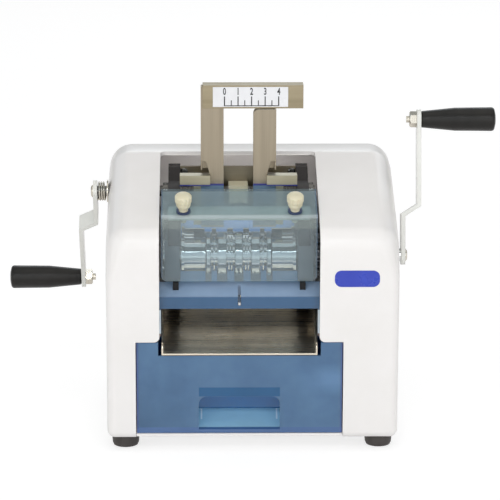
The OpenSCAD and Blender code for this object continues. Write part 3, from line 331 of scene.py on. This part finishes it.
def turned(name, light, dark, rough=0.14, pitch=1400.0, oil=0.2):
    """Lathe-turned or ground steel: rings round the X axis, a thin film of oil and fine contact marks."""
    around, ring_share, ring_strength, ring_depth, edge = 6.0, 0.7, 0.12, 0.00002, 0.00025
    smoothest, roughest = 0.65, 1.4
    cloud_scale, oiled, marked, marked_rough = 130.0, (0.5, 0.75), (0.4, 0.75), 0.6
    k = material_kit(name)
    rings = k.noise(rough=0.65, at=k.mapped((pitch, around, around)))
    cloud = k.noise(cloud_scale, detail=4.0, rough=0.6)
    tone = k.mix(k.remap(rings, MOST, (0.0, ring_share)), light, dark)
    ring_rough = k.remap(rings, MOST, (rough * smoothest, rough * roughest))
    return k.done(k.surface(
        Base_Color=k.mix(k.remap(cloud, oiled, (0.0, oil)), tone, dark), Metallic=1.0,
        Roughness=k.calc("ADD", ring_rough, k.remap(cloud, marked, (0.0, rough * marked_rough))),
        Normal=k.bump(rings, ring_strength, ring_depth, k.round_edges(edge))))


def moulded(name, light, dark, rough=0.35, grain=1800.0, depth=0.00003, edge=0.0003,
            coat=0.0, shine=0.5, sub=0.0):
    """Moulded plastic or rubber: a fine skin texture, faint flow marks and polished high spots."""
    flow_scale, flow_span = 45.0, (0.3, 0.75)
    polish_scale, smoothest, polished, dulled = 90.0, 0.03, 0.07, 0.08
    skin_strength, coat_rough = 0.25, 0.05
    k = material_kit(name)
    flow = k.remap(k.noise(flow_scale, detail=4.0, rough=0.6), flow_span, FULL)
    polish = k.noise(polish_scale, detail=4.0, rough=0.6)
    return k.done(k.surface(
        Base_Color=k.mix(flow, light, dark),
        Roughness=k.remap(polish, MOST, (max(smoothest, rough - polished), rough + dulled)),
        Normal=k.bump(k.noise(grain, rough=0.6), skin_strength, depth, k.round_edges(edge)),
        Coat_Weight=coat, Coat_Roughness=coat_rough, Specular_IOR_Level=shine,
        Subsurface_Weight=sub, Subsurface_Radius=(0.004, 0.003, 0.002), Subsurface_Scale=1.0))


def clear_sheet(name, tint, haze, haze_dark, cover, rough=0.08, sheen=0.6, rim_shade=None, zones=()):
    """Tinted clear plastic. cover is how much of it hides what is behind.

    The rim is a painted deeper tint for the sheet's cut edges seen edge-on, at a distance of half from
    middle along axis.
    zones are parts with their own painted tone, much of it painted light and shade: spans, colour and added
    cover.
    Where that is below 0, the zone is clearer, and what is behind it shows in its colour.
    """
    plastic_ior, coat, coat_rough = 1.49, 0.6, 0.03
    cloud_scale, cloud_share, cloud_dark = 28.0, 0.2, 0.9
    cover_scale, cover_swing = 60.0, 0.03
    gloss_scale, gloss_span, gloss_swing = 300.0, (0.3, 0.8), 0.06
    swirl_scale, swirl_strength, swirl_depth = 9.0, 0.15, 0.0006
    k = material_kit(name)
    cloud = k.noise(cloud_scale, detail=4.0, rough=0.55)
    cloudy = k.remap(cloud, MOST, FULL)
    tone = k.mix(cloudy, haze, haze_dark)
    hiding = k.remap(k.noise(cover_scale), MOST, (cover - cover_swing, cover + cover_swing))
    clear = k.mix(k.remap(cloud, MOST, (0.0, cloud_share)), tint, haze)
    # Each zone repaints tone and cover; most zones are painted light or painted shade
    for spans, colour, more in zones:
        part = k.zone(*spans)
        tone = k.mix(part, tone, k.mix(cloudy, colour, dimmed(colour, cloud_dark)))
        hiding = k.calc("ADD", hiding, k.calc("MULTIPLY", part, more), clamp=True)
        if more < 0:
            clear = k.mix(part, clear, colour)
    # Painted deeper tint along the cut edges, standing in for the sheet seen edge-on
    if rim_shade is not None:
        away = k.calc("ABSOLUTE", k.calc("SUBTRACT", k.axis(rim_shade["axis"]), rim_shade["middle"]))
        edge = k.remap(away, (rim_shade["half"] - rim_shade["width"], rim_shade["half"]), FULL)
        tone = k.mix(edge, tone, rim_shade["colour"])
        hiding = k.calc("ADD", hiding, k.calc("MULTIPLY", edge, rim_shade["more"]), clamp=True)
        clear = k.mix(edge, clear, rim_shade["colour"])
    glass = k.shader("ShaderNodeBsdfTransparent", Color=clear)
    body = k.surface(
        Base_Color=tone, IOR=plastic_ior, Coat_Weight=coat, Coat_Roughness=coat_rough,
        Roughness=k.remap(k.noise(gloss_scale, rough=0.6), gloss_span, (rough, rough + gloss_swing)),
        Normal=k.bump(k.noise(swirl_scale, detail=2.0), swirl_strength, swirl_depth))
    fresnel = k.shader("ShaderNodeFresnel", IOR=plastic_ior)
    mirroring = k.calc("MULTIPLY", fresnel.outputs[0], sheen)
    return k.done(k.join(k.calc("ADD", hiding, mirroring, clamp=True), glass, body))


# Paint
casing_paint = painted("casing_paint", srgb(244, 241, 239), srgb(238, 235, 231), rough=0.36)
black_paint = painted(
    "black_paint", srgb(50, 45, 43), srgb(38, 35, 34), rough=0.6, peel=1500.0, edge=0.0004,
    coat=0.0, shine=0.3)
grey_block = painted(
    "grey_block", srgb(134, 140, 146), srgb(112, 118, 126), rough=0.5, peel=1300.0, edge=0.0004, coat=0.1)
plated_strap = painted(
    "plated_strap", srgb(232, 232, 226), srgb(216, 216, 210), rough=0.30, peel=1600.0, edge=0.0005)

# Stainless sheet and bar
stainless = brushed("stainless", srgb(182, 176, 153), srgb(161, 154, 134))
stainless_bar = brushed("stainless_bar", srgb(162, 151, 127), srgb(144, 133, 110))
stainless_upright = brushed("stainless_upright", srgb(162, 151, 133), srgb(145, 135, 118), axis="Z")
stainless_chute = brushed("stainless_chute", srgb(232, 222, 204), srgb(190, 180, 163), rough=0.26)
stainless_inner = brushed("stainless_inner", srgb(150, 142, 140), srgb(120, 112, 112), rough=0.34)
stainless_rear = brushed("stainless_rear", srgb(152, 142, 123), srgb(132, 122, 105))
stainless_cover_bar = brushed(
    "stainless_cover_bar", srgb(236, 242, 232), srgb(214, 222, 212), rough=0.4, metal=0.3)

# Turned metal
bright_steel = turned("bright_steel", srgb(226, 226, 224), srgb(176, 178, 180), rough=0.06)
screw_steel = turned("screw_steel", srgb(118, 116, 112), srgb(78, 76, 74), rough=0.22, pitch=2600.0)
gear_steel = turned("gear_steel", srgb(150, 150, 152), srgb(104, 104, 108), rough=0.3, oil=0.5)
zinc_steel = turned("zinc_steel", srgb(214, 208, 196), srgb(160, 152, 138), rough=0.2, pitch=2200.0)
bronze = turned("bronze", srgb(206, 178, 124), srgb(156, 124, 74), rough=0.24)

# Moulded and printed pieces
cream_plastic = moulded("cream_plastic", srgb(232, 226, 200), srgb(212, 204, 172), rough=0.34, sub=0.15)
black_plastic = moulded(
    "black_plastic", srgb(36, 34, 31), srgb(24, 23, 22), rough=0.36, grain=900.0, shine=0.26)
black_rubber = moulded(
    "black_rubber", srgb(70, 65, 62), srgb(52, 49, 47), rough=0.62, grain=2400.0, depth=0.00008, edge=0.0006)
pad_rubber = moulded("pad_rubber", srgb(28, 27, 28), srgb(20, 20, 21), rough=0.6, grain=2400.0, shine=0.3)
# Washers under the thumbscrews, made dark to carry also a painted shadow of the knobs on the cover
washer_and_shadow_blue = moulded("washer_and_shadow_blue", srgb(50, 68, 106), srgb(38, 52, 86), rough=0.4, grain=2400.0)
printed_label = moulded(
    "printed_label", srgb(240, 240, 242), srgb(232, 232, 235), rough=0.32, grain=3000.0, depth=0.00001)
badge_film = moulded(
    "badge_film", srgb(48, 70, 188), srgb(40, 58, 174), rough=0.30, coat=0.1, grain=3000.0, depth=0.00001)
ink = moulded("ink", srgb(30, 30, 34), srgb(44, 44, 48), rough=0.5, grain=4000.0, depth=0.00001)


# The clear cover over the rollers: its front face is paler than its top, with a painted highlight band under
# the bend and a painted highlight line at the bend
COVER_BEND = 0.1745
COVER_SKIN = 0.002
BEND_HIGHLIGHT_BAND, BEND_HIGHLIGHT_SOFT, BEND_HIGHLIGHT_LINE = 0.010, 0.0004, 0.0022
cover_front = below("Y", cover_lo.y + COVER_SKIN)
clear_blue = clear_sheet(
    "clear_blue", srgb(234, 240, 242), srgb(206, 220, 224), srgb(194, 210, 214), 0.11, rough=0.04, sheen=0.4,
    # Painted deeper tint along the cover's side edges
    rim_shade={"axis": "X", "middle": (cover_lo.x + cover_hi.x) / 2, "half": (cover_hi.x - cover_lo.x) / 2,
         "width": 0.0012, "colour": srgb(150, 176, 200), "more": 0.2},
    zones=[
        ([cover_front], srgb(206, 218, 222), 0.07),
        # Painted highlight: a paler band just under the bend
        ([cover_front, ("Z", COVER_BEND - BEND_HIGHLIGHT_BAND, COVER_BEND, BEND_HIGHLIGHT_SOFT)],
         srgb(214, 226, 222), 0.08),
        # Painted highlight: a light line at the bend
        ([cover_front, over("Z", COVER_BEND - BEND_HIGHLIGHT_LINE)], srgb(226, 236, 238), 0.14),
    ])

# The plates on the guides: a painted shade line along their upper edge
SLIDE_SHADE_LINE = 0.0014
blue_slide = clear_sheet(
    "blue_slide", srgb(110, 160, 205), srgb(150, 180, 208), srgb(134, 166, 198), 0.55,
    # Painted shade: a dark line along the upper edge
    zones=[([over("Z", slide_hi.z - SLIDE_SHADE_LINE)], srgb(64, 70, 150), 0.25)])

# The lower panel: painted shade on its front face, painted light on its low side flanges, and a rear part
# that is clear over the discs
PANEL_LOW, PANEL_BEND, PANEL_SKIN = 0.1065, 0.1165, 0.0026
PANEL_REAR = 0.0262
RIGHT_BANDS = ((0.0090, 0.0158), (0.0206, 0.0244))
DISC_BANDS = ((-0.0030, 0.0030), *RIGHT_BANDS, *((-high, -low) for low, high in RIGHT_BANDS))
DISC_MARGIN = 0.0003
panel_rear = over("Y", behind_front(PANEL_REAR))
blue_lower = clear_sheet(
    "blue_lower", srgb(100, 150, 195), srgb(172, 199, 232), srgb(160, 189, 222), 0.70,
    zones=[
        # Painted shade: the front face under the bend darker than the slope above
        ([below("Z", PANEL_BEND), below("Y", panel_lo.y + PANEL_SKIN)], srgb(50, 96, 138), 0.16),
        # Painted light: the low side flanges paler where they sit in shade
        ([below("Z", PANEL_LOW)], srgb(226, 242, 252), 0.2),
        ([panel_rear], srgb(150, 200, 250), 0.2),
    ] + [
        ([panel_rear, ("X", mech_x + low - DISC_MARGIN, mech_x + high + DISC_MARGIN)],
         srgb(240, 244, 246), -0.9)
        for low, high in DISC_BANDS
    ])

# The plate behind the rollers
blue_baffle = clear_sheet(
    "blue_baffle", srgb(110, 150, 200), srgb(126, 178, 240), srgb(112, 162, 230), 0.80, rough=0.12)

# The drawer: painted shade low at the left of its front and along its bottom, a painted highlight at the
# right, painted deeper side edges, and painted shade and light in its finger pocket
POCKET_HALF, POCKET_WALL, POCKET_DEEP, POCKET_TOP = 0.0298, 0.0028, 0.0250, 0.0423
DRAWER_SKIN, DRAWER_FLOOR, DRAWER_RIM = 0.003, 0.0042, 0.0022
LOW_SHADE_TOP, LOW_SHADE_SOFT, LOW_SHADE_LEFT, LOW_SHADE_FADE = 0.040, 0.016, 0.05, 0.02
GLEAM_LOW, GLEAM_HIGH, GLEAM_SOFT, GLEAM_RIGHT, GLEAM_FADE = 0.050, 0.060, 0.008, 0.056, 0.012
CEILING_SHADE = 0.0070  # height of the painted shade band where the pocket's ceiling shows through the front
POCKET_FRONT, POCKET_JOIN, POCKET_BACK, POCKET_FLOOR = 0.0034, 0.0006, 0.004, 0.001
# Where the painted highlight lines run along the pocket's sides
HIGHLIGHT_FRONT, HIGHLIGHT_END, HIGHLIGHT_NEAR, HIGHLIGHT_AWAY = 0.014, 0.001, 0.0014, 0.0024
drawer_front = below("Y", drawer_lo.y + DRAWER_SKIN)
pocket_left, pocket_right = mech_x - POCKET_HALF, mech_x + POCKET_HALF
pocket_x = ("X", pocket_left - POCKET_WALL, pocket_right + POCKET_WALL)
pocket_z = ("Z", drawer_lo.z + POCKET_FLOOR, POCKET_TOP + POCKET_WALL)
pocket_back = drawer_lo.y + POCKET_DEEP
highlight_y = ("Y", drawer_lo.y + HIGHLIGHT_FRONT, pocket_back - HIGHLIGHT_END)
left_highlight = ("X", pocket_left + HIGHLIGHT_NEAR, pocket_left + HIGHLIGHT_AWAY)
right_highlight = ("X", pocket_right - HIGHLIGHT_AWAY, pocket_right - HIGHLIGHT_NEAR)
blue_drawer = clear_sheet(
    "blue_drawer", srgb(120, 165, 215), srgb(112, 155, 195), srgb(98, 139, 181), 0.55, rough=0.10,
    # Painted deeper tint along the drawer's side edges
    rim_shade={"axis": "X", "middle": mech_x, "half": (drawer_hi.x - drawer_lo.x) / 2,
         "width": DRAWER_RIM, "colour": srgb(78, 96, 158), "more": 0.15},
    zones=[
        # Painted shade low at the left of the front
        ([drawer_front, below("Z", LOW_SHADE_TOP, LOW_SHADE_SOFT),
          below("X", mech_x - LOW_SHADE_LEFT, LOW_SHADE_FADE)], srgb(90, 130, 170), 0.0),
        # Painted highlight at the right of the front
        ([drawer_front, ("Z", GLEAM_LOW, GLEAM_HIGH, GLEAM_SOFT),
          over("X", mech_x + GLEAM_RIGHT, GLEAM_FADE)], srgb(140, 188, 236), 0.0),
        # Painted shade band along the bottom of the front
        ([drawer_front, below("Z", drawer_lo.z + DRAWER_FLOOR)], srgb(86, 124, 178), 0.15),
        # Painted shade band where the pocket's ceiling shows through the front
        ([drawer_front, ("Z", POCKET_TOP, POCKET_TOP + CEILING_SHADE), ("X", pocket_left, pocket_right)],
         srgb(22, 98, 150), 0.2),
        # Painted light on the inside of the finger pocket
        ([("Y", drawer_lo.y + POCKET_FRONT, pocket_back - POCKET_JOIN), pocket_x, pocket_z],
         srgb(172, 222, 250), 0.25),
        # Painted highlight lines along the pocket's sides
        ([highlight_y, left_highlight, pocket_z], srgb(234, 246, 255), 0.3),
        ([highlight_y, right_highlight, pocket_z], srgb(234, 246, 255), 0.3),
        # Painted shade on the pocket's back wall
        ([("Y", pocket_back - POCKET_JOIN, pocket_back + POCKET_BACK), pocket_x, pocket_z],
         srgb(22, 108, 168), 0.35),
    ])


# Each CAD node takes the material of its slot, or its own where it has one
by_slot = {
    "casing_paint": casing_paint, "black_paint": black_paint, "grey_block": grey_block,
    "stainless": stainless, "bright_steel": bright_steel, "gear_steel": gear_steel,
    "zinc_steel": zinc_steel, "plated_strap": plated_strap, "bronze": bronze,
    "cream_plastic": cream_plastic, "black_plastic": black_plastic, "black_rubber": black_rubber,
    "clear_blue": clear_blue, "blue_drawer": blue_drawer,
    "badge_film": badge_film, "printed_label": printed_label,
}
by_node = {
    "left_guide": stainless_upright, "right_guide": stainless_upright, "chute": stainless_chute,
    "chassis": stainless_inner, "rear_plate": stainless_rear, "gear_plate": stainless_inner,
    "scale_bar": stainless_bar, "cover_bar": stainless_cover_bar, "leadscrew": screw_steel,
    "rear_plate_screws": screw_steel, "thumbscrew_washers": washer_and_shadow_blue, "lower_panel": blue_lower,
    "rear_baffle": blue_baffle, "left_slide_plate": blue_slide, "right_slide_plate": blue_slide,
    "cover_pads": pad_rubber, "leadscrew_collars": screw_steel,
}
slot_of = {s["node"]: s["material_slot"] for s in frame["record"]["subparts"]}
WELD_GAP = 0.000002
SHARP_ANGLE = math.radians(28.0)


def dress(obj, material):
    obj.data.materials.clear()
    obj.data.materials.append(material)


def smooth(obj):
    """Shades a CAD node's curved faces smooth: split vertices are welded and sharp edges parted again."""
    mesh = obj.data
    mesh.polygons.foreach_set("use_smooth", [True] * len(mesh.polygons))
    if "custom_normal" in mesh.attributes:
        mesh.attributes.remove(mesh.attributes["custom_normal"])
    weld = obj.modifiers.new("weld", "WELD")
    weld.merge_threshold = WELD_GAP
    split = obj.modifiers.new("split", "EDGE_SPLIT")
    split.split_angle = SHARP_ANGLE
    split.use_edge_sharp = False


for node, obj in nodes.items():
    dress(obj, by_node.get(node) or by_slot[slot_of[node]])
    smooth(obj)


# The printed scale, laid out by the pixels of the photograph's label
LABEL_LEFT_PX, LABEL_RIGHT_PX, LABEL_TOP_PX, LABEL_LOW_PX = 213.0, 288.0, 87.0, 106.5
FIRST_TICK_PX, LAST_TICK_PX = 224.6, 278.6
WHOLE_TICK_PX, HALF_TICK_PX, TICK_FOOT_PX = 96.2, 100.0, 105.5
BASE_TOP_PX, BASE_LOW_PX = 104.9, 105.7
NUMERAL_TOP_PX, NUMERAL_LOW_PX = 87.7, 94.7
LAST_NUMBER = 4
WHOLE_TICK, HALF_TICK = 0.00040, 0.00034  # half the width of a tick's line
BASE_END = 0.0003  # how far the base line goes past the middle of its end ticks
INK_DEPTH = 0.00006
NUMERAL_WIDTH = 0.62  # a numeral's width against the font's own
STROKE_GROW, OUTLINE_DEPTH = 0.022, 0.02
SAME_POINT = 0.000001
unit_px = (LAST_TICK_PX - FIRST_TICK_PX) / LAST_NUMBER


def label_x(px):
    share = (px - LABEL_LEFT_PX) / (LABEL_RIGHT_PX - LABEL_LEFT_PX)
    return label_lo.x + share * (label_hi.x - label_lo.x)


def label_z(py):
    share = (py - LABEL_TOP_PX) / (LABEL_LOW_PX - LABEL_TOP_PX)
    return label_hi.z - share * (label_hi.z - label_lo.z)


def bar(bm, x0, x1, z0, z1):
    """A thin raised bar of ink on the label's front face."""
    corners = ((x0, z0), (x1, z0), (x1, z1), (x0, z1))
    verts = [bm.verts.new((x, y, z)) for y in (label_lo.y - INK_DEPTH, label_lo.y) for x, z in corners]
    for f in ((0, 1, 2, 3), (7, 6, 5, 4), (0, 4, 5, 1), (1, 5, 6, 2), (2, 6, 7, 3), (3, 7, 4, 0)):
        bm.faces.new([verts[i] for i in f])


def print_on_label(name, mesh):
    """Makes an inked piece that moves with the left guide, as the label does."""
    obj = bpy.data.objects.new(name, mesh)
    scene.collection.objects.link(obj)
    dress(obj, ink)
    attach(obj, "left_guide")


def print_marks():
    """The ticks at each whole and half number, on one base line."""
    bm = bmesh.new()
    for i in range(2 * LAST_NUMBER + 1):
        whole = i % 2 == 0
        x = label_x(FIRST_TICK_PX + i * unit_px / 2)
        half = WHOLE_TICK if whole else HALF_TICK
        bar(bm, x - half, x + half, label_z(TICK_FOOT_PX), label_z(WHOLE_TICK_PX if whole else HALF_TICK_PX))
    bar(bm, label_x(FIRST_TICK_PX) - BASE_END, label_x(LAST_TICK_PX) + BASE_END,
        label_z(BASE_LOW_PX), label_z(BASE_TOP_PX))
    mesh = bpy.data.meshes.new("scale_marks")
    bmesh.ops.recalc_face_normals(bm, faces=bm.faces)
    bm.to_mesh(mesh)
    bm.free()
    print_on_label("scale_marks", mesh)


def numeral_outline(number):
    """A raised numeral's mesh from Blender's own font."""
    text = bpy.data.curves.new(f"numeral_{number}_outline", "FONT")
    text.body = str(number)
    text.align_x = "CENTER"
    text.extrude = OUTLINE_DEPTH
    text.offset = STROKE_GROW
    shape = bpy.data.objects.new(f"numeral_{number}_outline", text)
    scene.collection.objects.link(shape)
    bpy.context.view_layer.update()
    mesh = bpy.data.meshes.new_from_object(shape.evaluated_get(bpy.context.evaluated_depsgraph_get()))
    bpy.data.objects.remove(shape)
    return mesh


def print_numeral(number):
    """Fits a numeral over its tick: narrow, and as thick as the ink."""
    mesh = numeral_outline(number)
    places = [[v.co[axis] for v in mesh.vertices] for axis in range(3)]
    (x_low, x_high), (y_low, y_high), (z_low, z_high) = ((min(p), max(p)) for p in places)
    middle, foot = label_x(FIRST_TICK_PX + number * unit_px), label_z(NUMERAL_LOW_PX)
    tall = (label_z(NUMERAL_TOP_PX) - foot) / (y_high - y_low)
    for v in mesh.vertices:
        raised = (v.co.z - z_low) / (z_high - z_low)
        x = middle + (v.co.x - (x_high + x_low) / 2) * tall * NUMERAL_WIDTH
        v.co = Vector((x, label_lo.y - INK_DEPTH * raised, foot + (v.co.y - y_low) * tall))
    bm = bmesh.new()
    bm.from_mesh(mesh)
    bmesh.ops.remove_doubles(bm, verts=bm.verts, dist=SAME_POINT)
    bmesh.ops.recalc_face_normals(bm, faces=bm.faces)
    bm.to_mesh(mesh)
    bm.free()
    print_on_label(f"numeral_{number}", mesh)


print_marks()
for number in range(LAST_NUMBER + 1):
    print_numeral(number)


# The pale floor, which keeps the part's shadow where it is seen
FLOOR_GREY, FLOOR_GLOW, FLOOR_LIFT = 0.86, 0.62, 0.12
FLOOR_HALF, FLOOR_CELLS, FLOOR_DROP = 6.0, 8, 0.0002


def floor_white():
    """Plain grey for the light it throws back. Where it is seen, glow and lamplight add up to white."""
    k = material_kit("floor_white")
    grey = (FLOOR_GREY, FLOOR_GREY, FLOOR_GREY, 1.0)
    cloud = k.remap(k.noise(3.0), MOST, FULL)
    plain = k.shader("ShaderNodeBsdfDiffuse", Color=k.mix(cloud, grey, dimmed(grey, 0.99)))
    shadowed = k.shader("ShaderNodeBsdfDiffuse", Color=dimmed(WHITE, 1.0 - FLOOR_GLOW))
    light = k.shader("ShaderNodeEmission", Color=WHITE, Strength=FLOOR_GLOW + FLOOR_LIFT)
    both = k.add("ShaderNodeAddShader")
    k.put(shadowed.outputs[0], both.inputs[0])
    k.put(light.outputs[0], both.inputs[1])
    return k.done(k.join(k.seen(), plain, both))


def make_floor():
    mesh = bpy.data.meshes.new("floor")
    bm = bmesh.new()
    bmesh.ops.create_grid(bm, x_segments=FLOOR_CELLS, y_segments=FLOOR_CELLS, size=FLOOR_HALF)
    bm.to_mesh(mesh)
    bm.free()
    floor = bpy.data.objects.new("floor", mesh)
    floor.location = (0, 0, -FLOOR_DROP)
    scene.collection.objects.link(floor)
    dress(floor, floor_white())


make_floor()


# The studio as polished metal mirrors it: the sine of the height over the horizon, and the colour there
ROOM_BANDS = (
    (0.00, (196, 196, 186)), (0.08, (158, 164, 166)), (0.22, (160, 168, 172)), (0.30, (206, 220, 232)),
    (0.54, (204, 218, 230)), (0.62, (160, 166, 168)), (1.00, (176, 180, 180)),
)
AMBIENT_COLOUR, AMBIENT = (0.97, 0.985, 1.0, 1.0), 0.40


def studio_world():
    """White where the camera looks, pale bands where metal mirrors it, and a plain ambient light."""
    k = Kit(bpy.data.worlds.new("studio"), "ShaderNodeOutputWorld", "Generated")
    ambient = k.shader("ShaderNodeBackground", Color=AMBIENT_COLOUR, Strength=AMBIENT)
    white = k.shader("ShaderNodeBackground", Color=WHITE)
    bands = k.ramp(k.axis("Z"), [(height, srgb(*tone)) for height, tone in ROOM_BANDS])
    mirrored = k.shader("ShaderNodeBackground", Color=bands)
    return k.done(k.join(k.seen(), ambient, k.join(k.glossy(), white, mirrored)))


scene.world = studio_world()


# Lamps: the studio's soft ones and a narrow strip, and two small ones for light thrown about inside
NEUTRAL, WARM, COOL, GLOWING = (1, 1, 1), (1.0, 0.985, 0.95), (0.97, 0.985, 1.0), (1.0, 0.95, 0.92)


def lamp(name, place, aim, wide, tall, watts, colour=NEUTRAL):
    data = bpy.data.lights.new(name, "AREA")
    data.shape = "RECTANGLE"
    data.size, data.size_y = wide, tall
    data.energy = watts
    data.color = colour
    obj = bpy.data.objects.new(name, data)
    obj.location = place
    obj.rotation_mode = "QUATERNION"
    obj.rotation_quaternion = (Vector(aim) - Vector(place)).to_track_quat("-Z", "Y")
    scene.collection.objects.link(obj)


lamp("front", place=(0, -2.7, 1.05), aim=(0, 0, 0.12), wide=4.4, tall=1.2, watts=12.5)
lamp("low", place=(0, -2.6, 0.36), aim=(0, 0, 0.12), wide=5.0, tall=0.66, watts=16.0)
lamp("top", place=(0.1, -0.15, 1.7), aim=(0, 0, 0.1), wide=1.5, tall=1.2, watts=4.6, colour=WARM)
lamp("strip", place=(-0.15, -1.5, 1.25), aim=(0, 0, 0.14), wide=1.7, tall=0.06, watts=6.0)
lamp("left", place=(-1.8, -0.6, 0.7), aim=(0, 0, 0.12), wide=0.9, tall=0.9, watts=4.0, colour=COOL)
lamp("right", place=(1.9, -0.8, 0.7), aim=(0, 0, 0.12), wide=0.9, tall=0.9, watts=4.0, colour=COOL)
lamp("inner_rear", place=(mech_x, behind_front(0.109), 0.1965), aim=(mech_x, behind_front(0.147), 0.187),
     wide=0.11, tall=0.003, watts=0.0075, colour=GLOWING)
lamp("inner_rollers", place=(mech_x, behind_front(0.099), 0.1505), aim=(mech_x, behind_front(0.112), 0.128),
     wide=0.084, tall=0.005, watts=0.006)
lamp("back", place=(0.3, 1.9, 1.2), aim=(0, 0, 0.1), wide=1.6, tall=0.9, watts=6.0)
